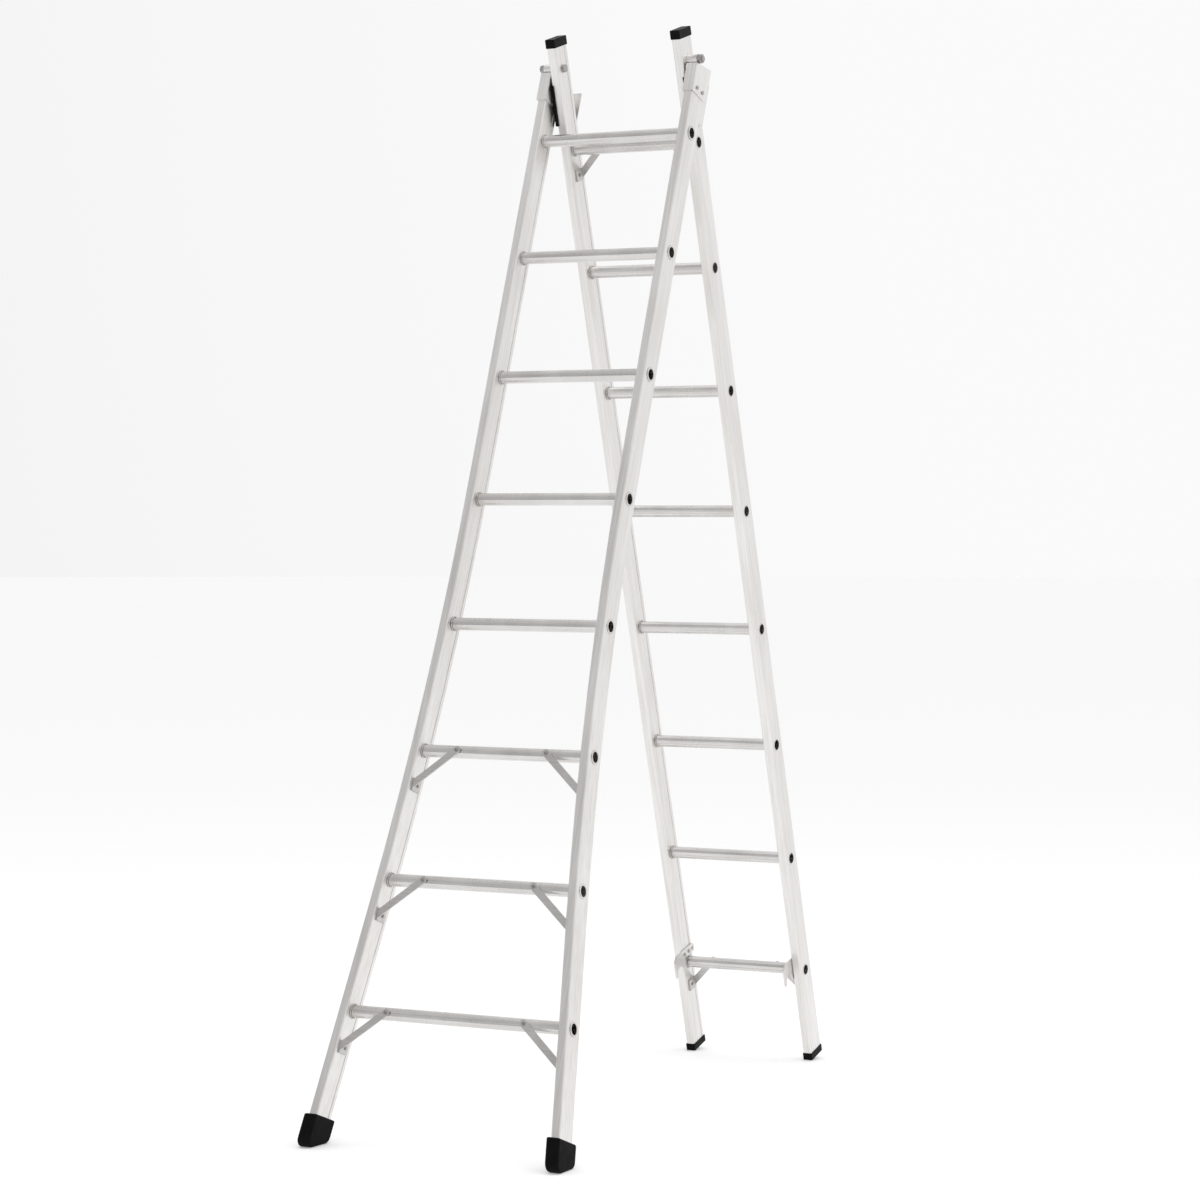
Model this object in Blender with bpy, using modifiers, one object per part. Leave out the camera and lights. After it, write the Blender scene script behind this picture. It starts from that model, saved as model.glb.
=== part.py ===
"""Two-section aluminium extension ladder, standing opened as an A-frame.

The front section's stiles flare out to two tall rubber feet. The rear section passes inside the
front stiles, hangs on two top bolts and runs in guides on the front section's top brackets. It
folds about the bosses of the guide shoes and slides through them along its own stiles.

Units are metres. +X runs along the rungs, +Y points to the rear section and +Z is up. The origin
is on the floor, in the middle of the footprint.
"""
import math

import bmesh
import bpy
from mathutils import Matrix, Vector

# Rungs
RUNG_COUNT = 8
RUNG_PITCH = 0.280
RUNG_RADIUS = 0.0135
RUNG_WALL = 0.0018
RUNG_SIDES = 14
GROOVE_WIDTH = 0.003
GROOVE_DEPTH = 0.001
GROOVE_END_GAP = 0.004
RIM_WIDTH = 0.0023
RIM_THICKNESS = 0.0012

# Stiles
STILE_DEPTH = 0.056
STILE_THICKNESS = 0.020
STILE_WALL = 0.0018
STILE_CORNER = 0.002
BEAD_GROOVE_POSITION = 0.0145
BEAD_GROOVE_WIDTH = 0.0025
BEAD_GROOVE_DEPTH = 0.001

# Overall sizes
FRONT_WIDTH = 0.380
FRONT_FOOT_LENGTH = 0.2816
REAR_FOOT_LENGTH = 0.220
REAR_TOP_LENGTH = 0.246
OPEN_ANGLE = math.radians(36.8)

# Outward bend of the front stiles, measured up from the first rung
FLARE_START = 1.170
FLARE_END = 0.210
FLARE_SLOPE = 0.111
FLARE_STEPS = 8

# Clearance between touching pieces, and how far a cutter runs past what it cuts
FIT = 0.0003
OVERRUN = 0.01

# Guides between the sections
BRACKET_SHEET = 0.0025
SHOE_WEB = 0.0029
SHOE_LIP = 0.0025
SHOE_LIP_REACH = 0.004
SHOE_BELOW_PIVOT = 0.010
SHOE_ABOVE_PIVOT = 0.080
BOSS_RADIUS = 0.006
PIVOT_ABOVE_TOP_RUNG = 0.0762
RUNG_OFFSET = 0.008
RUNG_CLEARANCE = 0.0055

# Top brackets
BRACKET_BOTTOM = 0.088
BRACKET_REAR_EDGE = 0.036
BRACKET_TOP_SLOPE = math.radians(11.5)
GUIDE_FOOT = 0.055
GUIDE_SLOPE_START = 0.028
GUIDE_SLOPE_END = 0.014
FLANGE_HEIGHT = 0.068
FLANGE_SHORTFALL = 0.003

# Top bolts
BOLT_ABOVE_TOP_RUNG = 0.181
BOLT_RADIUS = 0.006
BOLT_HEAD_RADIUS = 0.009
BOLT_HEAD_HEIGHT = 0.005
BOLT_TIP = 0.003
SPACER_RADIUS = 0.011
SPACER_SHORTFALL = 0.001
NUT_RADIUS = 0.0108
NUT_HEIGHT = 0.009

# Feet, plugs and caps
BOOT_WALL = 0.005
BOOT_END_WALL = 0.0102
BOOT_HEIGHT = 0.060
BOOT_SOLE = 0.022
BOOT_END_RADIUS = 0.0167
BOOT_ARC_STEPS = 8
BOOT_ROUNDING = 0.004
PLUG_WALL = 0.0016
PLUG_HEIGHT = 0.017
PLUG_SOLE = 0.005
PLUG_ROUNDING = 0.0014
CAP_WALL = 0.0016
CAP_HEIGHT = 0.020
CAP_TOP = 0.004
CAP_ROUNDING = 0.0014

# Knee braces: the run goes from the stile's inner face to the upper end, and the drop from the
# rung's middle to the middle of the tab
BRACE_WIDTH = 0.015
BRACE_THICKNESS = 0.003
BRACE_TAB_REACH = 0.030
BRACE_TAB_HEIGHT = 0.026
BRACE_OVERLAP = 0.004
BRACE_TIP = 0.005
BRACE_WELD = 0.001
BRACE_RUN = 0.085
BRACE_DROP = 0.077
REAR_BRACE_RUN = 0.058
REAR_BRACE_DROP = 0.058
FRONT_BRACED_RUNGS = (1, 2, 3)
REAR_BRACED_RUNGS = (1, 8)

# Rung hooks
HOOK_THICKNESS = 0.003
HOOK_NOTCH_CLEARANCE = 0.0025
HOOK_NOTCH_PLAY = 0.0015
HOOK_NOSE_WIDTH = 0.009
HOOK_TOP = 0.037
HOOK_EYE_RADIUS = 0.0115
HOOK_EYE_HOLE = 0.0045
HOOK_EYE_DEPTH = 0.022
HOOK_RUNG_GAP = 0.003
HOOK_TOE = 0.004
HOOK_CHAMFER = 0.012
HOOK_RIVET_DEPTHS = (-0.018, 0.004)
HOOK_ARC_STEPS = 8

# Rivets
RIVET_HEAD_RADIUS = 0.0045
RIVET_HEAD_HEIGHT = 0.002
RIVET_RADIUS = 0.0024
RIVET_SIDES = 10
RIVET_TAIL = 0.003
BRACKET_RIVET_DEPTHS = (-0.012, 0.014)
BRACKET_RIVET_HEIGHT = 0.014

# Values worked out from the sizes above
HALF_DEPTH = STILE_DEPTH / 2
RIM_RADIUS = RUNG_RADIUS + RIM_WIDTH
HOOK_NOTCH_RADIUS = RUNG_RADIUS + HOOK_NOTCH_CLEARANCE
TOP_RUNG = (RUNG_COUNT - 1) * RUNG_PITCH
SIDE_GAP = BRACKET_SHEET + SHOE_WEB + 3 * FIT
FRONT_HALF = FRONT_WIDTH / 2
REAR_HALF = FRONT_HALF - STILE_THICKNESS - SIDE_GAP
PIVOT_DEPTH = RUNG_RADIUS + RUNG_CLEARANCE + HALF_DEPTH
PIVOT_HEIGHT = TOP_RUNG + PIVOT_ABOVE_TOP_RUNG
REAR_TOP_RUNG = RUNG_OFFSET - PIVOT_ABOVE_TOP_RUNG
REAR_BOTTOM_RUNG = REAR_TOP_RUNG - TOP_RUNG
REAR_BOTTOM = REAR_BOTTOM_RUNG - REAR_FOOT_LENGTH
REAR_TOP = REAR_TOP_RUNG + REAR_TOP_LENGTH
BOLT_HEIGHT = REAR_TOP_RUNG + BOLT_ABOVE_TOP_RUNG
SHOE_HALF_DEPTH = HALF_DEPTH + FIT + SHOE_LIP


def front_lean():
    """Angle of the front section from upright that puts all four feet on the floor."""
    heel = HALF_DEPTH + PLUG_WALL - PLUG_ROUNDING
    rear_leg = -REAR_BOTTOM - PLUG_ROUNDING
    front_leg = FRONT_FOOT_LENGTH + PIVOT_HEIGHT
    rise = front_leg - rear_leg * math.cos(OPEN_ANGLE) - heel * math.sin(OPEN_ANGLE)
    run = PIVOT_DEPTH + rear_leg * math.sin(OPEN_ANGLE) - heel * math.cos(OPEN_ANGLE)
    return math.acos(PLUG_ROUNDING / math.hypot(rise, run)) - math.atan2(run, rise)


FRONT_LEAN = front_lean()
REAR_LEAN = OPEN_ANGLE - FRONT_LEAN


def flare(height):
    """Outward shift of a front stile at a height above the first rung."""
    if height >= FLARE_START:
        return 0.0
    curvature = FLARE_SLOPE / (FLARE_START - FLARE_END)
    bent = FLARE_START - max(height, FLARE_END)
    straight = max(FLARE_END - height, 0.0)
    return curvature * bent ** 2 / 2 + FLARE_SLOPE * straight


def no_flare(height):
    """The rear stiles are straight."""
    return 0.0


def bolt_in_front_frame():
    """Depth and height of the top bolt in the front section, with the ladder open."""
    depth = PIVOT_DEPTH - BOLT_HEIGHT * math.sin(OPEN_ANGLE)
    height = PIVOT_HEIGHT + BOLT_HEIGHT * math.cos(OPEN_ANGLE)
    return depth, height


def bracket_top(depth):
    """Height of the sloping top of a bracket, which the spacer tube rests on."""
    bolt_depth, bolt_height = bolt_in_front_frame()
    seat = (SPACER_RADIUS + FIT) / math.cos(BRACKET_TOP_SLOPE)
    return bolt_height + (depth - bolt_depth) * math.tan(BRACKET_TOP_SLOPE) - seat


FRONT_TOP = bracket_top(-HALF_DEPTH) - BRACKET_SHEET / math.cos(BRACKET_TOP_SLOPE) - 2 * FIT


def reset_scene():
    """Remove what the scene holds and make the two collections."""
    for obj in list(bpy.data.objects):
        bpy.data.objects.remove(obj, do_unlink=True)
    for name in ("extension_ladder", "cutters"):
        collection = bpy.data.collections.new(name)
        bpy.context.scene.collection.children.link(collection)


def make_material(name, colour, metallic, roughness):
    """A Principled material with one even colour."""
    material = bpy.data.materials.new(name)
    material.use_nodes = True
    shader = material.node_tree.nodes["Principled BSDF"]
    shader.inputs["Base Color"].default_value = (*colour, 1.0)
    shader.inputs["Metallic"].default_value = metallic
    shader.inputs["Roughness"].default_value = roughness
    return material


def make_frame(name, location, tilt, parent):
    """An empty whose local axes carry one part of the ladder."""
    frame = bpy.data.objects.new(name, None)
    frame.location = location
    frame.rotation_euler = (tilt, 0.0, 0.0)
    frame.parent = parent
    bpy.data.collections["extension_ladder"].objects.link(frame)
    return frame


# Meshes, modelled for the right-hand side


def add_block(bm, low, high):
    """Add a box between two corners and return its vertices."""
    verts = bmesh.ops.create_cube(bm, size=1.0)["verts"]
    size = [b - a for a, b in zip(low, high)]
    centre = [(a + b) / 2 for a, b in zip(low, high)]
    bmesh.ops.scale(bm, vec=size, verts=verts)
    bmesh.ops.translate(bm, vec=centre, verts=verts)
    return verts


def block(low, high):
    """A box between two corners."""
    bm = bmesh.new()
    add_block(bm, low, high)
    return bm


def add_cylinder(bm, radius, start, end, centre, sides):
    """Add a cylinder along X, from start to end, around a (y, z) centre."""
    turn = Matrix.Rotation(math.pi / 2, 4, "Y")
    place = Matrix.Translation(((start + end) / 2, *centre))
    bmesh.ops.create_cone(bm, cap_ends=True, segments=sides, radius1=radius, radius2=radius,
                          depth=end - start, matrix=place @ turn)


def cylinder(radius, start, end, centre, sides):
    """A cylinder along X."""
    bm = bmesh.new()
    add_cylinder(bm, radius, start, end, centre, sides)
    return bm


def plate(outline, thickness, placement):
    """A flat plate from an outline, moved from its own XY plane by a matrix."""
    curve = bpy.data.curves.new("outline", "CURVE")
    curve.dimensions = "2D"
    curve.fill_mode = "BOTH"
    curve.extrude = thickness / 2
    spline = curve.splines.new("POLY")
    spline.points.add(len(outline) - 1)
    for point, (x, y) in zip(spline.points, outline):
        point.co = (x, y, 0.0, 1.0)
    spline.use_cyclic_u = True
    holder = bpy.data.objects.new("outline", curve)
    mesh = bpy.data.meshes.new_from_object(holder)
    bm = bmesh.new()
    bm.from_mesh(mesh)
    bmesh.ops.remove_doubles(bm, verts=bm.verts, dist=1e-6)
    bmesh.ops.dissolve_limit(bm, angle_limit=0.001, verts=bm.verts, edges=bm.edges)
    bmesh.ops.transform(bm, matrix=placement, verts=bm.verts)
    bmesh.ops.recalc_face_normals(bm, faces=bm.faces)
    bpy.data.objects.remove(holder)
    bpy.data.curves.remove(curve)
    bpy.data.meshes.remove(mesh)
    return bm


def side_plate(outline, start, end):
    """A plate across X, from an outline of (depth, height) points."""
    axes = Matrix(((0, 0, 1), (1, 0, 0), (0, 1, 0))).to_4x4()
    place = Matrix.Translation(((start + end) / 2, 0.0, 0.0))
    return plate(outline, end - start, place @ axes)


def face_plate(outline, depth, thickness):
    """A plate across Y at a depth, from an outline of (x, height) points."""
    axes = Matrix(((1, 0, 0), (0, 0, -1), (0, 1, 0))).to_4x4()
    return plate(outline, thickness, Matrix.Translation((0.0, depth, 0.0)) @ axes)


def bend_outward(bm, shape):
    """Move every vertex outward by the stile's flare at its height."""
    for vert in bm.verts:
        vert.co.x += shape(vert.co.z)


def split_along_flare(bm):
    """Cut rings of edges into a block where the front stile bends."""
    for step in range(FLARE_STEPS + 1):
        height = FLARE_END + (FLARE_START - FLARE_END) * step / FLARE_STEPS
        geometry = bm.verts[:] + bm.edges[:] + bm.faces[:]
        bmesh.ops.bisect_plane(bm, geom=geometry, plane_co=(0, 0, height), plane_no=(0, 0, 1))


# Objects


def place(bm, name, frame, side, collection):
    """Turn a mesh into an object, mirrored for the left-hand side."""
    if side < 0:
        bmesh.ops.scale(bm, vec=(-1, 1, 1), verts=bm.verts)
        bmesh.ops.reverse_faces(bm, faces=bm.faces)
    mesh = bpy.data.meshes.new(name)
    bm.to_mesh(mesh)
    bm.free()
    obj = bpy.data.objects.new(name, mesh)
    obj.parent = frame
    bpy.data.collections[collection].objects.link(obj)
    return obj


def make_part(bm, name, frame, side, material, smooth=True):
    """A visible sub-part."""
    obj = place(bm, name, frame, side, "extension_ladder")
    obj.data.materials.append(bpy.data.materials[material])
    for polygon in obj.data.polygons:
        polygon.use_smooth = smooth
    return obj


def combine(obj, bm, side, operation):
    """Join a mesh to an object or cut it away, with a Boolean modifier."""
    label = f"{obj.name}_{operation.lower()}_{len(obj.modifiers)}"
    tool = place(bm, label, obj.parent, side, "cutters")
    tool.hide_render = True
    tool.display_type = "WIRE"
    tool.data.materials.append(obj.data.materials[0])
    modifier = obj.modifiers.new(tool.name, "BOOLEAN")
    modifier.operation = operation
    modifier.solver = "EXACT"
    modifier.object = tool


def join(obj, bm, side):
    """Union a mesh with an object."""
    combine(obj, bm, side, "UNION")


def cut(obj, bm, side):
    """Cut a mesh out of an object."""
    combine(obj, bm, side, "DIFFERENCE")


def round_edges(obj, width, segments):
    """Round the edges of an object that are sharper than 30 degrees."""
    modifier = obj.modifiers.new("rounding", "BEVEL")
    modifier.width = width
    modifier.segments = segments
    modifier.limit_method = "ANGLE"
    modifier.angle_limit = math.radians(30)


def side_name(side):
    """Left and right as seen from in front of the ladder."""
    return "right" if side > 0 else "left"


def stile_mesh(outer, bottom, top, inset, shape):
    """The stile's section, made smaller by an inset all round, as one long block."""
    overrun = OVERRUN if inset > 0 else 0.0
    low = (outer - STILE_THICKNESS + inset, -HALF_DEPTH + inset, bottom - overrun)
    high = (outer - inset, HALF_DEPTH - inset, top + overrun)
    bm = block(low, high)
    if shape is flare:
        split_along_flare(bm)
    bend_outward(bm, shape)
    return bm


def make_stile(name, frame, side, outer, bottom, top, rungs, shape):
    """A hollow stile with a bead groove and a hole for every rung."""
    stile = make_part(stile_mesh(outer, bottom, top, 0.0, shape), name, frame, side, "aluminium")
    round_edges(stile, STILE_CORNER, 1)
    cut(stile, stile_mesh(outer, bottom, top, STILE_WALL, shape), side)
    inner = outer - STILE_THICKNESS
    groove_low = (inner - BEAD_GROOVE_DEPTH, BEAD_GROOVE_POSITION, bottom - OVERRUN)
    groove_back = BEAD_GROOVE_POSITION + BEAD_GROOVE_WIDTH
    groove_high = (inner + BEAD_GROOVE_DEPTH, groove_back, top + OVERRUN)
    groove = block(groove_low, groove_high)
    if shape is flare:
        split_along_flare(groove)
    bend_outward(groove, shape)
    cut(stile, groove, side)
    holes = bmesh.new()
    for height in rungs:
        face = outer + shape(height)
        start = face - STILE_THICKNESS - OVERRUN
        add_cylinder(holes, RUNG_RADIUS + FIT, start, face + OVERRUN, (0.0, height), RUNG_SIDES)
    cut(stile, holes, side)
    return stile


def drill(obj, side, radius, outer, depth, height, sides=12):
    """Drill along X through both walls of a stile, or through a plate beside it."""
    start = outer - 2 * STILE_THICKNESS
    cut(obj, cylinder(radius, start, outer + STILE_THICKNESS, (depth, height), sides), side)


def rung_tube(radius, outer, height, shape, reach):
    """A tube between the outer faces of both stiles, with ends that follow the faces."""
    bm = cylinder(radius, -outer, outer, (0.0, height), RUNG_SIDES)
    for vert in bm.verts:
        vert.co.x += math.copysign(shape(vert.co.z) + reach, vert.co.x)
    return bm


def rung_rims(outer, height, shape):
    """The two flared rims that hold a rung against its stiles."""
    bm = bmesh.new()
    for side in (-1, 1):
        start = side * outer + (0.0 if side > 0 else -RIM_THICKNESS)
        add_cylinder(bm, RIM_RADIUS, start, start + RIM_THICKNESS, (0.0, height), RUNG_SIDES)
    for vert in bm.verts:
        vert.co.x += math.copysign(shape(vert.co.z) + FIT, vert.co.x)
    return bm


def make_rung(name, frame, outer, height, shape, rimmed):
    """A grooved rung, with a flared rim outside each stile where it has the room."""
    reach = FIT + RIM_THICKNESS if rimmed else -FIT
    tube = rung_tube(RUNG_RADIUS, outer, height, shape, reach)
    rung = make_part(tube, name, frame, 1, "rung_metal")
    if rimmed:
        join(rung, rung_rims(outer, height, shape), 1)
    cut(rung, rung_tube(RUNG_RADIUS - RUNG_WALL, outer, height, shape, OVERRUN), 1)
    grooves = bmesh.new()
    half_length = outer + shape(height + RUNG_RADIUS) - STILE_THICKNESS - GROOVE_END_GAP
    for face in (-1, 1):
        low = (-half_length, face * RUNG_RADIUS - GROOVE_DEPTH, height - GROOVE_WIDTH / 2)
        high = (half_length, face * RUNG_RADIUS + GROOVE_DEPTH, height + GROOVE_WIDTH / 2)
        add_block(grooves, low, high)
    cut(rung, grooves, 1)


def make_cup(name, frame, side, outer, end, into, wall, height, base, rounding):
    """A black cup over a stile's square end. into is +1 where the stile is above the end."""
    far = end + into * height
    low = (outer - STILE_THICKNESS - wall, -HALF_DEPTH - wall, min(end, far))
    high = (outer + wall, HALF_DEPTH + wall, max(end, far))
    cup = make_part(block(low, high), name, frame, side, "black_plastic")
    round_edges(cup, rounding, 2)
    floor_level = end + into * (base - FIT)
    beyond = far + into * OVERRUN
    low = (outer - STILE_THICKNESS - FIT, -HALF_DEPTH - FIT, min(floor_level, beyond))
    high = (outer + FIT, HALF_DEPTH + FIT, max(floor_level, beyond))
    cut(cup, block(low, high), side)


def boot_corner(depth, start, end):
    """Rounded end of a boot's sole, centred at a depth, which meets the level sole."""
    rise = (BOOT_END_RADIUS + depth * math.sin(FRONT_LEAN)) / math.cos(FRONT_LEAN)
    centre = (depth, -FRONT_FOOT_LENGTH + rise)
    return arc(centre, BOOT_END_RADIUS, start, end, BOOT_ARC_STEPS)


def make_boot(name, frame, side):
    """A rubber foot with rounded ends and a sole that is level with the floor."""
    bottom = -FRONT_FOOT_LENGTH
    end = HALF_DEPTH + BOOT_END_WALL
    level = 270 + math.degrees(FRONT_LEAN)
    outline = boot_corner(-end + BOOT_END_RADIUS, 180, level)
    outline += boot_corner(end - BOOT_END_RADIUS, level, 360)
    outline += [(end, bottom + BOOT_HEIGHT), (-end, bottom + BOOT_HEIGHT)]
    bm = side_plate(outline, FRONT_HALF - STILE_THICKNESS - BOOT_WALL, FRONT_HALF + BOOT_WALL)
    bend_outward(bm, flare)
    boot = make_part(bm, name, frame, side, "rubber")
    round_edges(boot, BOOT_ROUNDING, 3)
    low = (FRONT_HALF - STILE_THICKNESS - FIT, -HALF_DEPTH - FIT, bottom + BOOT_SOLE - FIT)
    high = (FRONT_HALF + FIT, HALF_DEPTH + FIT, bottom + BOOT_HEIGHT + OVERRUN)
    pocket = block(low, high)
    bend_outward(pocket, flare)
    cut(boot, pocket, side)


def make_brace(name, frame, side, outer, rung_height, shape, run, drop, face):
    """A flat knee brace from a rung's face down to a tab on the stile's inner face."""
    depth = face * (RUNG_RADIUS + FIT + BRACE_THICKNESS / 2)
    low_height = rung_height - drop
    inner = outer - STILE_THICKNESS - FIT
    foot_x = inner + shape(low_height)
    upper_x = inner + shape(rung_height) - run
    direction = Vector((foot_x - upper_x, -drop)).normalized()
    across = Vector((-direction.y, direction.x)) * BRACE_WIDTH / 2
    start = Vector((upper_x, rung_height)) - direction * BRACE_OVERLAP
    tip = start - direction * BRACE_TIP
    outline = [start + across, tip + across / 2, tip - across / 2, start - across]
    for edge in (-across, across):
        corner = Vector((upper_x, rung_height)) + edge
        reach = (foot_x - BRACE_WELD - corner.x) / direction.x
        outline.append(corner + direction * reach)
    strip = face_plate(outline, depth, BRACE_THICKNESS)
    brace = make_part(strip, name, frame, side, "brace_metal", False)
    near = depth + face * BRACE_THICKNESS / 2
    far = near - face * BRACE_TAB_REACH
    low = (inner - BRACE_THICKNESS, min(near, far), low_height - BRACE_TAB_HEIGHT / 2)
    high = (inner, max(near, far), low_height + BRACE_TAB_HEIGHT / 2)
    tab = block(low, high)
    bend_outward(tab, shape)
    join(brace, tab, side)


def make_bracket(name, frame, side):
    """The sheet sleeve on a front stile's top, with its guide plate and flange."""
    front = -HALF_DEPTH - FIT - BRACKET_SHEET
    inner = FRONT_HALF - STILE_THICKNESS - FIT
    bottom = TOP_RUNG + BRACKET_BOTTOM
    rear = BRACKET_REAR_EDGE
    sleeve = [(front, bottom), (rear, bottom), (rear, bracket_top(rear)), (front, bracket_top(front))]
    bracket = make_part(
        side_plate(sleeve, inner - BRACKET_SHEET, FRONT_HALF + FIT + BRACKET_SHEET),
        name, frame, side, "bracket_metal", False)

    flange_face = PIVOT_DEPTH + SHOE_HALF_DEPTH + FIT
    flange_back = flange_face + BRACKET_SHEET
    swing = (SHOE_HALF_DEPTH + FIT) * (1 / math.cos(OPEN_ANGLE) - 1) / math.tan(OPEN_ANGLE)
    flange_low = PIVOT_HEIGHT + swing
    flange_high = flange_low + FLANGE_HEIGHT
    foot = TOP_RUNG + GUIDE_FOOT
    guide = [(front, bottom), (PIVOT_DEPTH - GUIDE_SLOPE_START, bottom)]
    guide.append((PIVOT_DEPTH - GUIDE_SLOPE_END, foot))
    guide += [(flange_back, foot), (flange_back, flange_high), (rear, bracket_top(rear))]
    guide.append((front, bracket_top(front)))
    join(bracket, side_plate(guide, inner - BRACKET_SHEET, inner), side)
    roof = BRACKET_SHEET / math.cos(BRACKET_TOP_SLOPE)
    mouth = front + BRACKET_SHEET
    beyond = rear + OVERRUN
    channel = [(mouth, bottom - OVERRUN), (beyond, bottom - OVERRUN)]
    channel += [(depth, bracket_top(depth) - roof) for depth in (beyond, mouth)]
    cut(bracket, side_plate(channel, inner, FRONT_HALF + FIT), side)
    low = (REAR_HALF - STILE_THICKNESS + FLANGE_SHORTFALL, flange_face, flange_low)
    join(bracket, block(low, (inner, flange_back, flange_high)), side)
    drill(bracket, side, BOSS_RADIUS + FIT, FRONT_HALF, PIVOT_DEPTH, PIVOT_HEIGHT, 16)
    return bracket


def make_shoe(name, frame, side):
    """The black guide shoe round a rear stile, with the boss that the section folds about."""
    outer = REAR_HALF + FIT + SHOE_WEB
    low = (REAR_HALF - SHOE_LIP_REACH, -SHOE_HALF_DEPTH, -SHOE_BELOW_PIVOT)
    shoe = make_part(block(low, (outer, SHOE_HALF_DEPTH, SHOE_ABOVE_PIVOT)), name, frame, side,
                     "black_plastic")
    low = (REAR_HALF - STILE_THICKNESS, -HALF_DEPTH - FIT, -SHOE_BELOW_PIVOT - OVERRUN)
    cut(shoe, block(low, (REAR_HALF + FIT, HALF_DEPTH + FIT, SHOE_ABOVE_PIVOT + OVERRUN)), side)
    boss = cylinder(BOSS_RADIUS, outer - SHOE_WEB / 2, outer + FIT + BRACKET_SHEET, (0.0, 0.0), 16)
    join(shoe, boss, side)


def make_top_bolt(frame, side):
    """The bolt, spacer tube and nut at the top of a rear stile."""
    where = (0.0, BOLT_HEIGHT)
    inner = REAR_HALF - STILE_THICKNESS - FIT
    spacer_end = FRONT_HALF - SPACER_SHORTFALL
    nut_start = spacer_end + FIT
    nut_end = nut_start + NUT_HEIGHT
    head = cylinder(BOLT_HEAD_RADIUS, inner - BOLT_HEAD_HEIGHT, inner, where, 12)
    bolt = make_part(head, f"top_bolt_{side_name(side)}", frame, side, "steel", False)
    shank = cylinder(BOLT_RADIUS, inner - BOLT_HEAD_HEIGHT / 2, nut_end + BOLT_TIP, where, 12)
    join(bolt, shank, side)
    tube = cylinder(SPACER_RADIUS, REAR_HALF + FIT, spacer_end, where, 20)
    spacer = make_part(tube, f"spacer_{side_name(side)}", frame, side, "rung_metal")
    cut(spacer, cylinder(BOLT_RADIUS + FIT, REAR_HALF - OVERRUN, nut_end, where, 12), side)
    nut_mesh = cylinder(NUT_RADIUS, nut_start, nut_end, where, 6)
    nut = make_part(nut_mesh, f"nut_{side_name(side)}", frame, side, "steel", False)
    cut(nut, cylinder(BOLT_RADIUS + FIT, nut_start - OVERRUN, nut_end + OVERRUN, where, 12), side)


def arc(centre, radius, start, end, steps):
    """Points of an arc, with its angles in degrees."""
    points = []
    for step in range(steps + 1):
        angle = math.radians(start + (end - start) * step / steps)
        points.append((centre[0] + radius * math.cos(angle), centre[1] + radius * math.sin(angle)))
    return points


def hook_rivet_places():
    """Depth and height of the rivets that hold a hook plate."""
    row = REAR_BOTTOM_RUNG + (RUNG_RADIUS + HOOK_TOP) / 2
    return [(depth, row) for depth in HOOK_RIVET_DEPTHS]


def make_hook(name, frame, side):
    """A hook plate that drops over a front rung when the sections lie together."""
    rung = REAR_BOTTOM_RUNG
    above_rung = rung + RUNG_RADIUS + HOOK_RUNG_GAP
    notch_depth = -PIVOT_DEPTH - HOOK_NOTCH_PLAY
    notch_height = rung - RUNG_OFFSET - HOOK_NOTCH_PLAY
    notch = arc((notch_depth, notch_height), HOOK_NOTCH_RADIUS, 180, 0, HOOK_ARC_STEPS)
    nose = notch_depth - HOOK_NOTCH_RADIUS - HOOK_NOSE_WIDTH
    toe = notch_height - HOOK_TOE
    heel = -RUNG_RADIUS - HOOK_RUNG_GAP
    eye_height = rung + HOOK_TOP - HOOK_EYE_RADIUS
    outline = [(nose, toe), (notch[0][0], toe)] + notch + [(notch[-1][0], toe), (heel, toe)]
    outline += [(heel, above_rung), (HOOK_EYE_DEPTH, above_rung)]
    outline += arc((HOOK_EYE_DEPTH, eye_height), HOOK_EYE_RADIUS, -60, 90, HOOK_ARC_STEPS)
    outline += [(nose + HOOK_CHAMFER, rung + HOOK_TOP), (nose, rung + HOOK_TOP - HOOK_CHAMFER)]
    outer = REAR_HALF - STILE_THICKNESS - FIT
    sheet = side_plate(outline, outer - HOOK_THICKNESS, outer)
    hook = make_part(sheet, name, frame, side, "steel", False)
    drill(hook, side, HOOK_EYE_HOLE, outer, HOOK_EYE_DEPTH, eye_height)
    for depth, height in hook_rivet_places():
        drill(hook, side, RIVET_RADIUS + FIT, outer, depth, height, RIVET_SIDES)


def make_rivet(name, frame, side, face, grip, outward, where):
    """A rivet with its head on a face, through a grip of sheet and wall."""
    head = face + outward * (FIT + RIVET_HEAD_HEIGHT)
    near = face + outward * FIT
    tail = face - outward * (grip + RIVET_TAIL)
    bm = cylinder(RIVET_HEAD_RADIUS, min(head, near), max(head, near), where, RIVET_SIDES)
    rivet = make_part(bm, name, frame, side, "steel", False)
    middle = (head + near) / 2
    shank = cylinder(RIVET_RADIUS, min(middle, tail), max(middle, tail), where, RIVET_SIDES)
    join(rivet, shank, side)


def bracket_rivet_places():
    """Depth and height of the rivets that hold a bracket's outer side to its stile."""
    row = TOP_RUNG + BRACKET_BOTTOM + BRACKET_RIVET_HEIGHT
    return [(depth, row) for depth in BRACKET_RIVET_DEPTHS]


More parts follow.
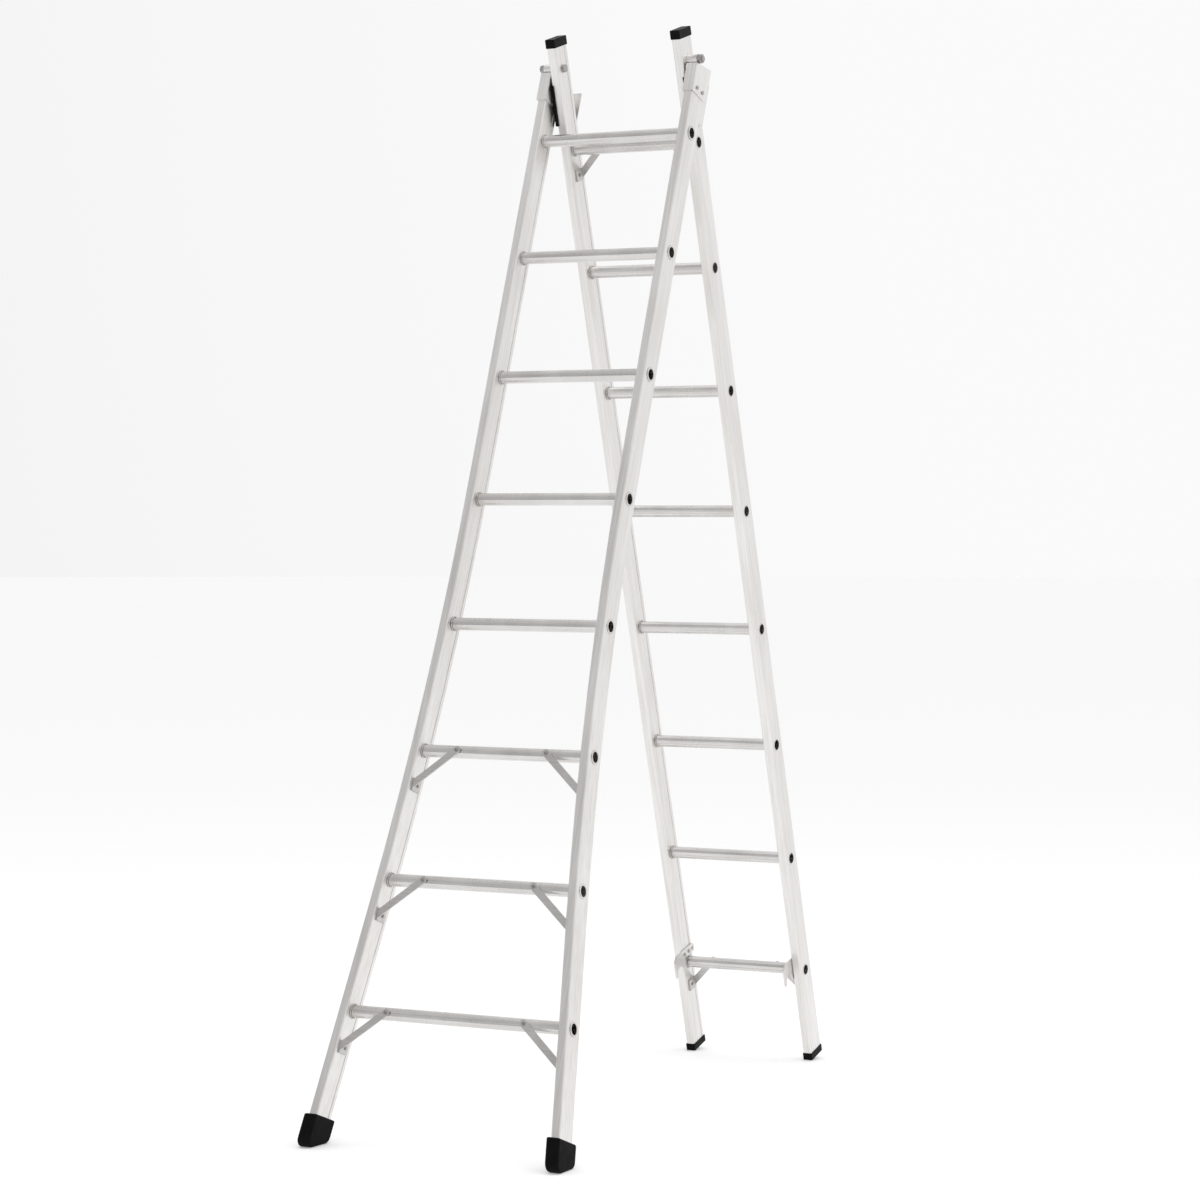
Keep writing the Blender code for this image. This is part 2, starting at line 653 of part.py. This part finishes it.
def make_front_section(frame):
    """Stiles, rungs, braces, feet and brackets of the front section."""
    heights = [index * RUNG_PITCH for index in range(RUNG_COUNT)]
    for side in (-1, 1):
        label = side_name(side)
        bottom = -FRONT_FOOT_LENGTH + BOOT_SOLE
        name = f"front_stile_{label}"
        stile = make_stile(name, frame, side, FRONT_HALF, bottom, FRONT_TOP, heights, flare)
        bracket = make_bracket(f"top_bracket_{label}", frame, side)
        face = FRONT_HALF + FIT + BRACKET_SHEET
        grip = BRACKET_SHEET + FIT + STILE_WALL
        hole_start = face - grip - RIVET_TAIL
        for index, where in enumerate(bracket_rivet_places(), 1):
            for holed in (stile, bracket):
                hole = cylinder(RIVET_RADIUS + FIT, hole_start, face + OVERRUN, where, RIVET_SIDES)
                cut(holed, hole, side)
            make_rivet(f"bracket_rivet_{label}_{index}", frame, side, face, grip, 1, where)
        make_boot(f"front_foot_{label}", frame, side)
        for number in FRONT_BRACED_RUNGS:
            make_brace(f"front_brace_{number}_{label}", frame, side, FRONT_HALF, heights[number - 1],
                       flare, BRACE_RUN, BRACE_DROP, -1)
    for number, height in enumerate(heights, 1):
        make_rung(f"front_rung_{number}", frame, FRONT_HALF, height, flare, True)


def make_rear_section(frame):
    """Stiles, rungs, braces, plugs, caps, top bolts and hooks of the rear section."""
    heights = [REAR_BOTTOM_RUNG + index * RUNG_PITCH for index in range(RUNG_COUNT)]
    for side in (-1, 1):
        label = side_name(side)
        bottom = REAR_BOTTOM + PLUG_SOLE
        name = f"rear_stile_{label}"
        stile = make_stile(name, frame, side, REAR_HALF, bottom, REAR_TOP, heights, no_flare)
        drill(stile, side, BOLT_RADIUS + FIT, REAR_HALF, 0.0, BOLT_HEIGHT)
        make_top_bolt(frame, side)
        make_hook(f"rung_hook_{label}", frame, side)
        face = REAR_HALF - STILE_THICKNESS - FIT - HOOK_THICKNESS
        grip = HOOK_THICKNESS + FIT + STILE_WALL
        hole_end = face + grip + RIVET_TAIL
        for index, where in enumerate(hook_rivet_places(), 1):
            cut(stile, cylinder(RIVET_RADIUS + FIT, face, hole_end, where, RIVET_SIDES), side)
            make_rivet(f"hook_rivet_{label}_{index}", frame, side, face, grip, -1, where)
        make_cup(f"rear_plug_{label}", frame, side, REAR_HALF, REAR_BOTTOM, 1, PLUG_WALL, PLUG_HEIGHT,
                 PLUG_SOLE, PLUG_ROUNDING)
        make_cup(f"rear_cap_{label}", frame, side, REAR_HALF, REAR_TOP + CAP_TOP, -1, CAP_WALL, CAP_HEIGHT,
                 CAP_TOP, CAP_ROUNDING)
        for number in REAR_BRACED_RUNGS:
            make_brace(f"rear_brace_{number}_{label}", frame, side, REAR_HALF, heights[number - 1],
                       no_flare, REAR_BRACE_RUN, REAR_BRACE_DROP, 1)
    for number, height in enumerate(heights, 1):
        make_rung(f"rear_rung_{number}", frame, REAR_HALF, height, no_flare, False)


def floor_centre():
    """Middle of the footprint in Y, and the lowest point, of the evaluated parts."""
    graph = bpy.context.evaluated_depsgraph_get()
    depths = []
    heights = []
    for obj in bpy.data.collections["extension_ladder"].objects:
        if obj.type == "MESH":
            shape = obj.evaluated_get(graph)
            corners = [shape.matrix_world @ vert.co for vert in shape.data.vertices]
            depths += [corner.y for corner in corners]
            heights += [corner.z for corner in corners]
    return (min(depths) + max(depths)) / 2, min(heights)


def main():
    reset_scene()
    make_material("aluminium", (0.80, 0.80, 0.79), 1.0, 0.38)
    make_material("rung_metal", (0.74, 0.74, 0.73), 1.0, 0.34)
    make_material("brace_metal", (0.45, 0.45, 0.44), 1.0, 0.45)
    make_material("bracket_metal", (0.78, 0.78, 0.77), 1.0, 0.35)
    make_material("steel", (0.42, 0.42, 0.42), 1.0, 0.40)
    make_material("rubber", (0.012, 0.012, 0.012), 0.0, 0.60)
    make_material("black_plastic", (0.014, 0.014, 0.014), 0.0, 0.50)

    ladder = make_frame("ladder", (0, 0, 0), 0.0, None)
    rung_height = FRONT_FOOT_LENGTH * math.cos(FRONT_LEAN)
    front = make_frame("front_section", (0, 0, rung_height), -FRONT_LEAN, ladder)
    bpy.context.view_layer.update()
    pivot = front.matrix_world @ Vector((0, PIVOT_DEPTH, PIVOT_HEIGHT))
    rear = make_frame("fold_axis", pivot, REAR_LEAN, ladder)

    make_front_section(front)
    for side in (-1, 1):
        make_shoe(f"guide_shoe_{side_name(side)}", rear, side)
    make_rear_section(rear)

    bpy.context.view_layer.update()
    middle, lowest = floor_centre()
    ladder.location = (0.0, -middle, -lowest)
    bpy.context.view_layer.update()


main()
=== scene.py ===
"""Looks for the two-section aluminium ladder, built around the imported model.

Units are metres. +X runs along the rungs, +Y points to the rear section and +Z is up.
"""
import math

import bmesh
import bpy
from mathutils import Matrix, Vector


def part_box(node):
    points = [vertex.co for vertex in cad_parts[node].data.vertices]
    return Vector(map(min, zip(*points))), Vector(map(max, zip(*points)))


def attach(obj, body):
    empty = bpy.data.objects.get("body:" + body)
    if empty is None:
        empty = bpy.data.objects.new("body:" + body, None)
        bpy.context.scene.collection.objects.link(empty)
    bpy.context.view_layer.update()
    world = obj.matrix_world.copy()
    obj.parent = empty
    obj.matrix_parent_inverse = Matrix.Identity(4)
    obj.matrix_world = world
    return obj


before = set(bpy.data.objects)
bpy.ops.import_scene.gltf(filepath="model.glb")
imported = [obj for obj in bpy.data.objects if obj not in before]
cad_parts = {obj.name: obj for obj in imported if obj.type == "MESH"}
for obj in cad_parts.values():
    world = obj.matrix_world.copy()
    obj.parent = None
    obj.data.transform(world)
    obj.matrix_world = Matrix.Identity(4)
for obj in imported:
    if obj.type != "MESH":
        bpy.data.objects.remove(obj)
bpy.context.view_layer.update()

# Camera
CAMERA_PLACE = (3.477, -6.545, 1.292)
CAMERA_TURN = 28.1
CAMERA_DIP = 1.5
CAMERA_LENS = 102.0
CAMERA_SENSOR = 36.0

# The two sections' lean from upright
FRONT_LEAN = math.radians(20.058)
REAR_LEAN = math.radians(-16.742)

# Sizes that the pieces below share with the CAD. A brace is its reach along the rung and its drop.
RUNG_COUNT = 8
RUNG_PITCH = 0.280
RUNG_RADIUS = 0.0135
FIT = 0.0003
FRONT_INNER = 0.170
REAR_INNER = 0.1437
FLARE_START = 1.170
FLARE_END = 0.210
FLARE_SLOPE = 0.111
BRACE_THICKNESS = 0.003
BRACE_TAB_REACH = 0.030
FRONT_BRACE = (0.085, 0.077)
REAR_BRACE = (0.058, 0.058)
FRONT_BRACED_RUNGS = (1, 2, 3)
REAR_BRACED_RUNGS = (1, 8)

# Sizes of the pieces below
BEAD_THICKNESS = 0.0011
BEAD_GAP = 0.0003
RIVET_RADIUS = 0.0042
RIVET_DOME = 0.0018
RIVET_RINGS = 5
RIVET_SIDES = 20
TAB_RIVET_SHARE = 0.6
BEAD_SIDES = 36
BEAD_STEPS = 8

# Noise patterns: the share of the scale kept along the streaks, the scale and the detail
LINES = (0.03, 240.0, 7.0)
PATCHES = (0.25, 14.0, 4.0)
SCUFFS = (0.5, 95.0, 6.0)
CLOUDS = (1.0, 60.0, 4.0)
GRAIN_DETAIL = 5.0
NOISE_LOW = 0.3
NOISE_HIGH = 0.7

# Metal: a shade is a share of the brightness, and a range is the noise between two tones.
# A spread is added to the roughness, and a relief is its strength and depth.
LINE_SHADE = 0.80
LINE_RANGE = (0.36, 0.62)
PATCH_SHADE = 0.82
PATCH_RANGE = (0.34, 0.66)
LINE_WARMTH = 0.022
PATCH_WARMTH = 0.036
METAL_WARMTH = 0.014
SCUFF_RANGE = (0.66, 0.74)
SCUFF_SHADES = (0.55, 0.62)
METAL_ROUGHNESS_SPREAD = (-0.05, 0.06)
METAL_RELIEF = (0.12, 0.0002)

# Rubber and plastic, in the same terms
BLACK_PATCH_SHADE = 2.2
BLACK_RANGE = (0.40, 0.72)
BLACK_ROUGHNESS_SPREAD = (-0.08, 0.10)
BLACK_SPECULAR = 0.08
BLACK_RELIEF = (0.25, 0.0004)

# Floor, backdrop and lights. The backdrop is strongest towards its bright side.
FLOOR_RADIUS = 60.0
FLOOR_SIDES = 96
FLOOR_DROP = 0.0005
FLOOR_GREY = 0.88
FLOOR_GLOW = 0.22
FLOOR_ROUGHNESS = 0.9
BRIGHT_SIDE = (0.35, 0.90, 0.20)
BACKDROP_REACH = (-1.0, 0.7)
BACKDROP_STRENGTH = (0.52, 0.96)
LIGHTS = {
    "key": {"place": (1.0, -4.0, 6.0), "target": (0, 0, 1.2), "size": 3.0, "power": 45.0},
    "top": {"place": (0.5, 0.5, 5.5), "target": (0, 0, 1.0), "size": 3.5, "power": 45.0},
}


# Materials


def new_material(name):
    """An empty node material with a Principled shader."""
    material = bpy.data.materials.new(name)
    material.use_nodes = True
    return material, material.node_tree, material.node_tree.nodes["Principled BSDF"]


def streaked(tree, lean, axis, pattern):
    """Noise drawn out along one axis of a leaning section."""
    amount, scale, detail = pattern
    where = tree.nodes.new("ShaderNodeTexCoord")
    turn = tree.nodes.new("ShaderNodeMapping")
    turn.inputs["Rotation"].default_value = (lean, 0.0, 0.0)
    squeeze = tree.nodes.new("ShaderNodeMapping")
    squeeze.inputs["Scale"].default_value["XYZ".index(axis)] = amount
    noise = tree.nodes.new("ShaderNodeTexNoise")
    noise.inputs["Scale"].default_value = scale
    noise.inputs["Detail"].default_value = detail
    tree.links.new(where.outputs["Object"], turn.inputs["Vector"])
    tree.links.new(turn.outputs["Vector"], squeeze.inputs["Vector"])
    tree.links.new(squeeze.outputs["Vector"], noise.inputs["Vector"])
    return noise.outputs["Fac"]


def spread(tree, fac, low, high):
    """A noise factor moved to the range from low to high."""
    node = tree.nodes.new("ShaderNodeMapRange")
    node.inputs["From Min"].default_value = NOISE_LOW
    node.inputs["From Max"].default_value = NOISE_HIGH
    node.inputs["To Min"].default_value = low
    node.inputs["To Max"].default_value = high
    tree.links.new(fac, node.inputs["Value"])
    return node.outputs["Result"]


def mix(tree, fac, first, second):
    """Two colours mixed by a linked factor, or by an even half where it is None."""
    node = tree.nodes.new("ShaderNodeMix")
    node.data_type = "RGBA"
    if fac is not None:
        tree.links.new(fac, node.inputs["Factor"])
    tree.links.new(first, node.inputs["A"])
    tree.links.new(second, node.inputs["B"])
    return node.outputs["Result"]


def bump(tree, shader, height, relief):
    """Relief on a shader, from its strength and depth."""
    strength, distance = relief
    node = tree.nodes.new("ShaderNodeBump")
    node.inputs["Strength"].default_value = strength
    node.inputs["Distance"].default_value = distance
    tree.links.new(height, node.inputs["Height"])
    tree.links.new(node.outputs["Normal"], shader.inputs["Normal"])


def grey(value, warm=0.0):
    """A grey with a little warmth, as RGBA."""
    return (value * (1 + warm), value, value * (1 - warm), 1.0)


def two_tones(tree, fac, ends, first, second):
    """Two colours blended over a factor's range."""
    node = tree.nodes.new("ShaderNodeValToRGB")
    for stop, position, colour in zip(node.color_ramp.elements, ends, (first, second)):
        stop.position = position
        stop.color = colour
    tree.links.new(fac, node.inputs["Fac"])
    return node.outputs["Color"]


def metal(name, lean, along, bright, rough, marks=0.08):
    """Drawn metal: fine lines along one axis, soft patches and scattered scuffs."""
    material, tree, shader = new_material(name)
    lines = streaked(tree, lean, along, LINES)
    patches = streaked(tree, lean, "Z", PATCHES)
    scuffs = streaked(tree, lean, "Z", SCUFFS)
    clean = grey(bright, METAL_WARMTH)
    drawn = two_tones(tree, lines, LINE_RANGE, grey(bright * LINE_SHADE, LINE_WARMTH), clean)
    cloudy = two_tones(tree, patches, PATCH_RANGE, grey(bright * PATCH_SHADE, PATCH_WARMTH), clean)
    base = mix(tree, None, drawn, cloudy)
    worn = two_tones(tree, scuffs, SCUFF_RANGE, grey(0.0), grey(marks))
    dark = two_tones(tree, patches, (0.0, 1.0), *[grey(bright * shade) for shade in SCUFF_SHADES])
    tree.links.new(mix(tree, worn, base, dark), shader.inputs["Base Color"])
    smoother, rougher = METAL_ROUGHNESS_SPREAD
    roughness = spread(tree, patches, rough + smoother, rough + rougher)
    tree.links.new(roughness, shader.inputs["Roughness"])
    shader.inputs["Metallic"].default_value = 1.0
    bump(tree, shader, lines, METAL_RELIEF)
    return material


def black(name, value, rough, grain):
    """Moulded black rubber or plastic with a fine grain and slightly lighter patches."""
    material, tree, shader = new_material(name)
    fine = streaked(tree, 0.0, "Z", (1.0, grain, GRAIN_DETAIL))
    broad = streaked(tree, 0.0, "Z", CLOUDS)
    colour = two_tones(tree, broad, BLACK_RANGE, grey(value), grey(value * BLACK_PATCH_SHADE))
    tree.links.new(colour, shader.inputs["Base Color"])
    smoother, rougher = BLACK_ROUGHNESS_SPREAD
    roughness = spread(tree, broad, rough + smoother, rough + rougher)
    tree.links.new(roughness, shader.inputs["Roughness"])
    shader.inputs["Specular IOR Level"].default_value = BLACK_SPECULAR
    bump(tree, shader, fine, BLACK_RELIEF)
    return material


# One look for each kind of node. Metals give their lean, the way the lines run, brightness,
# roughness and scuffs. Blacks give their value, roughness and grain.
LOOKS = {
    "front_stile": metal("front_stile_aluminium", FRONT_LEAN, "Z", 0.84, 0.36),
    "rear_stile": metal("rear_stile_aluminium", REAR_LEAN, "Z", 0.84, 0.36),
    "front_rung": metal("front_rung_aluminium", FRONT_LEAN, "X", 0.72, 0.27, 0.14),
    "rear_rung": metal("rear_rung_aluminium", REAR_LEAN, "X", 0.72, 0.27, 0.14),
    "front_brace": metal("front_brace_aluminium", FRONT_LEAN, "X", 0.62, 0.42, 0.12),
    "rear_brace": metal("rear_brace_aluminium", REAR_LEAN, "X", 0.62, 0.42, 0.12),
    "top_bracket": metal("bracket_aluminium", FRONT_LEAN, "Z", 0.86, 0.33),
    "spacer": metal("spacer_aluminium", REAR_LEAN, "X", 0.80, 0.32),
    "rung_hook": metal("hook_steel", REAR_LEAN, "Z", 0.80, 0.40, 0.15),
    "top_bolt": metal("bolt_steel", REAR_LEAN, "X", 0.45, 0.38, 0.15),
    "nut": metal("nut_steel", REAR_LEAN, "X", 0.42, 0.38, 0.15),
    "bracket_rivet": metal("bracket_rivet_steel", FRONT_LEAN, "X", 0.50, 0.36),
    "hook_rivet": metal("hook_rivet_steel", REAR_LEAN, "X", 0.50, 0.36),
    "front_foot": black("foot_rubber", 0.002, 0.62, 700.0),
    "rear_plug": black("plug_plastic", 0.002, 0.48, 1400.0),
    "rear_cap": black("cap_plastic", 0.002, 0.45, 1400.0),
    # The guide shoes are black plastic, and their near-black colour also stands in for the shadow in
    # the gap between the top bracket and the rear stile: painted shade.
    "guide_shoe": black("guide_plastic_and_painted_shade", 0.003, 0.48, 1400.0),
}
RIVET_STEEL = metal("brace_rivet_steel", FRONT_LEAN, "X", 0.30, 0.42)
BEAD_METAL = metal("rung_bead_aluminium", FRONT_LEAN, "X", 0.68, 0.36)

for node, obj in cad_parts.items():
    look = next(LOOKS[kind] for kind in LOOKS if node.startswith(kind))
    for slot in obj.material_slots:
        slot.material = look


# Small pieces that the CAD has no nodes for


def flare(height):
    """Outward shift of a front stile at a height above the first rung."""
    if height >= FLARE_START:
        return 0.0
    curvature = FLARE_SLOPE / (FLARE_START - FLARE_END)
    bent = FLARE_START - max(height, FLARE_END)
    return curvature * bent ** 2 / 2 + FLARE_SLOPE * max(FLARE_END - height, 0.0)


def no_flare(height):
    """The rear stiles are straight."""
    return 0.0


def section_matrix(section, lean):
    """Turns a section's (x, depth, height) into the world, with its first rung as the origin."""
    low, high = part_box(f"{section}_rung_1")
    return Matrix.Translation((low + high) / 2) @ Matrix.Rotation(-lean, 4, "X")


def finish_piece(bm, name, material, body):
    """A smooth new piece that rides on a body."""
    mesh = bpy.data.meshes.new(name)
    bmesh.ops.recalc_face_normals(bm, faces=bm.faces)
    bm.to_mesh(mesh)
    bm.free()
    for polygon in mesh.polygons:
        polygon.use_smooth = True
    obj = bpy.data.objects.new(name, mesh)
    bpy.context.scene.collection.objects.link(obj)
    mesh.materials.append(material)
    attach(obj, body)


def dome(centre, direction):
    """A closed domed rivet head that rises from a point along a direction."""
    bm = bmesh.new()
    turn = Vector(direction).to_track_quat("Z", "Y").to_matrix()
    rows = []
    for ring in range(RIVET_RINGS):
        angle = math.pi / 2 * ring / RIVET_RINGS
        out, up = RIVET_RADIUS * math.cos(angle), RIVET_DOME * math.sin(angle)
        row = []
        for side in range(RIVET_SIDES):
            around = 2 * math.pi * side / RIVET_SIDES
            local = Vector((out * math.cos(around), out * math.sin(around), up))
            row.append(bm.verts.new(Vector(centre) + turn @ local))
        rows.append(row)
    top = bm.verts.new(Vector(centre) + turn @ Vector((0, 0, RIVET_DOME)))
    for lower, upper in zip(rows, rows[1:]):
        for side in range(RIVET_SIDES):
            after = (side + 1) % RIVET_SIDES
            bm.faces.new((lower[side], lower[after], upper[after], upper[side]))
    for side in range(RIVET_SIDES):
        bm.faces.new((rows[-1][side], rows[-1][(side + 1) % RIVET_SIDES], top))
    bm.faces.new(list(reversed(rows[0])))
    return bm


def bead(side, height, inner, shape):
    """A rounded bead round a rung that lies along the stile's inner face."""
    bm = bmesh.new()
    reach = RUNG_RADIUS + BEAD_THICKNESS + BEAD_GAP
    rows = []
    for index in range(BEAD_SIDES):
        around = 2 * math.pi * index / BEAD_SIDES
        row = []
        for step in range(BEAD_STEPS):
            angle = 2 * math.pi * step / BEAD_STEPS
            out = reach + BEAD_THICKNESS * math.cos(angle)
            up = height + out * math.sin(around)
            along = inner + shape(up) - BEAD_GAP - BEAD_THICKNESS * (1 + math.sin(angle))
            row.append(bm.verts.new((side * along, out * math.cos(around), up)))
        rows.append(row)
    for index in range(BEAD_SIDES):
        here, after = rows[index], rows[(index + 1) % BEAD_SIDES]
        for step in range(BEAD_STEPS):
            up = (step + 1) % BEAD_STEPS
            bm.faces.new((here[step], after[step], after[up], here[up]))
    return bm


def dress_section(section, lean, inner, shape, braced, brace, face):
    """Beads at the rungs' ends and rivets on the braces of one section."""
    to_world = section_matrix(section, lean)
    body = f"{section}_section"
    run, drop = brace
    strip = face * (RUNG_RADIUS + FIT + BRACE_THICKNESS + BEAD_GAP)
    tab = strip - face * BRACE_TAB_REACH * TAB_RIVET_SHARE
    for side, label in ((1, "right"), (-1, "left")):
        made = []
        for number in range(1, RUNG_COUNT + 1):
            height = (number - 1) * RUNG_PITCH
            ring = bead(side, height, inner, shape)
            made.append((ring, f"{section}_bead_{number}_{label}", BEAD_METAL, "rung_metal"))
            if number in braced:
                upper = (side * (inner + shape(height) - run), strip, height)
                head = dome(upper, (0, face, 0))
                made.append((head, f"{section}_brace_rivet_{number}_{label}_1", RIVET_STEEL, "steel"))
                foot = inner + shape(height - drop) - FIT - BRACE_THICKNESS - BEAD_GAP
                head = dome((side * foot, tab, height - drop), (-side, 0, 0))
                made.append((head, f"{section}_brace_rivet_{number}_{label}_2", RIVET_STEEL, "steel"))
        for bm, name, material, slot in made:
            bmesh.ops.transform(bm, matrix=to_world, verts=bm.verts)
            finish_piece(bm, name, material, body)


dress_section("front", FRONT_LEAN, FRONT_INNER, flare, FRONT_BRACED_RUNGS, FRONT_BRACE, -1)
dress_section("rear", REAR_LEAN, REAR_INNER, no_flare, REAR_BRACED_RUNGS, REAR_BRACE, 1)

# Camera

turn = math.radians(CAMERA_TURN)
dip = math.radians(CAMERA_DIP)
gaze = Vector((-math.sin(turn) * math.cos(dip), math.cos(turn) * math.cos(dip), -math.sin(dip)))
camera_data = bpy.data.cameras.new("camera")
camera_data.lens = CAMERA_LENS
camera_data.sensor_width = CAMERA_SENSOR
camera_data.dof.use_dof = False
camera = bpy.data.objects.new("camera", camera_data)
camera.location = CAMERA_PLACE
camera.rotation_euler = gaze.to_track_quat("-Z", "Y").to_euler()
bpy.context.scene.collection.objects.link(camera)
bpy.context.scene.camera = camera

# Floor and light

floor_mesh = bpy.data.meshes.new("floor")
bm = bmesh.new()
bmesh.ops.create_circle(bm, cap_ends=True, segments=FLOOR_SIDES, radius=FLOOR_RADIUS)
bm.to_mesh(floor_mesh)
bm.free()
floor = bpy.data.objects.new("floor", floor_mesh)
floor.location = (0, 0, -FLOOR_DROP)
floor_material, _, floor_shader = new_material("floor")
floor_shader.inputs["Base Color"].default_value = grey(FLOOR_GREY)
floor_shader.inputs["Emission Color"].default_value = grey(1.0)
floor_shader.inputs["Emission Strength"].default_value = FLOOR_GLOW
floor_shader.inputs["Roughness"].default_value = FLOOR_ROUGHNESS
floor_mesh.materials.append(floor_material)
bpy.context.scene.collection.objects.link(floor)

world = bpy.data.worlds.new("studio")
world.use_nodes = True
studio = world.node_tree
studio.nodes["Background"].inputs["Color"].default_value = grey(1.0)
direction = studio.nodes.new("ShaderNodeTexCoord")
brightest = studio.nodes.new("ShaderNodeVectorMath")
brightest.operation = "DOT_PRODUCT"
brightest.inputs[1].default_value = BRIGHT_SIDE
studio.links.new(direction.outputs["Generated"], brightest.inputs[0])
wash = studio.nodes.new("ShaderNodeMapRange")
wash.inputs["From Min"].default_value, wash.inputs["From Max"].default_value = BACKDROP_REACH
wash.inputs["To Min"].default_value, wash.inputs["To Max"].default_value = BACKDROP_STRENGTH
studio.links.new(brightest.outputs["Value"], wash.inputs["Value"])
studio.links.new(wash.outputs["Result"], studio.nodes["Background"].inputs["Strength"])
bpy.context.scene.world = world


def area_light(name, place, target, size, power):
    """A soft square light aimed at a point."""
    data = bpy.data.lights.new(name, "AREA")
    data.shape = "SQUARE"
    data.size = size
    data.energy = power
    light = bpy.data.objects.new(name, data)
    light.location = place
    aim = Vector(target) - Vector(place)
    light.rotation_euler = aim.to_track_quat("-Z", "Y").to_euler()
    bpy.context.scene.collection.objects.link(light)


for light_name, settings in LIGHTS.items():
    area_light(light_name, **settings)

bpy.context.scene.view_settings.view_transform = "Standard"
